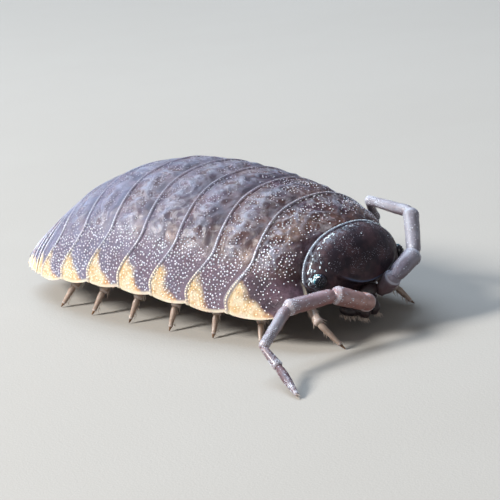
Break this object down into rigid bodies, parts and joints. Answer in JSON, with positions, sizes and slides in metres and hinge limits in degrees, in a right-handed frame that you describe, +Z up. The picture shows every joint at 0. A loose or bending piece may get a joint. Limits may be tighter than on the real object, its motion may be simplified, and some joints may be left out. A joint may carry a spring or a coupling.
{
  "type": "woodlouse",
  "caption": "Life-size pill woodlouse standing with its feelers spread: lapped domed back plates, shield-faced head, bent feelers, short jointed legs and a stepped rounded tail.",
  "frame": {"origin": "middle of the footprint's bounding box, on the floor the feet stand on", "axes": "+X towards the head, +Y to the animal's left, +Z up"},
  "size_m": [0.017, 0.0098, 0.0047],
  "materials": {
    "shell": "satin",
    "head_shell": "satin",
    "limb_skin": "satin",
    "eye": "gloss",
    "gill": "matt"
  },
  "bodies": {
    "root": {"pereonite_1": "shell", "pereonite_2": "shell", "pereonite_3": "shell", "pereonite_4": "shell", "pereonite_5": "shell", "pereonite_6": "shell", "pereonite_7": "shell", "pleon": "shell", "telson": "shell", "uropod_right": "shell", "uropod_left": "shell", "head": "head_shell", "mouthparts": "head_shell", "eye_right": "eye", "eye_left": "eye", "antenna_right": "limb_skin", "antenna_left": "limb_skin", "leg_right_1": "limb_skin", "leg_right_2": "limb_skin", "leg_right_3": "limb_skin", "leg_right_4": "limb_skin", "leg_right_5": "limb_skin", "leg_right_6": "limb_skin", "leg_right_7": "limb_skin", "leg_left_1": "limb_skin", "leg_left_2": "limb_skin", "leg_left_3": "limb_skin", "leg_left_4": "limb_skin", "leg_left_5": "limb_skin", "leg_left_6": "limb_skin", "leg_left_7": "limb_skin", "pleopods_right": "gill", "pleopods_left": "gill"}
  },
  "joints": []
}
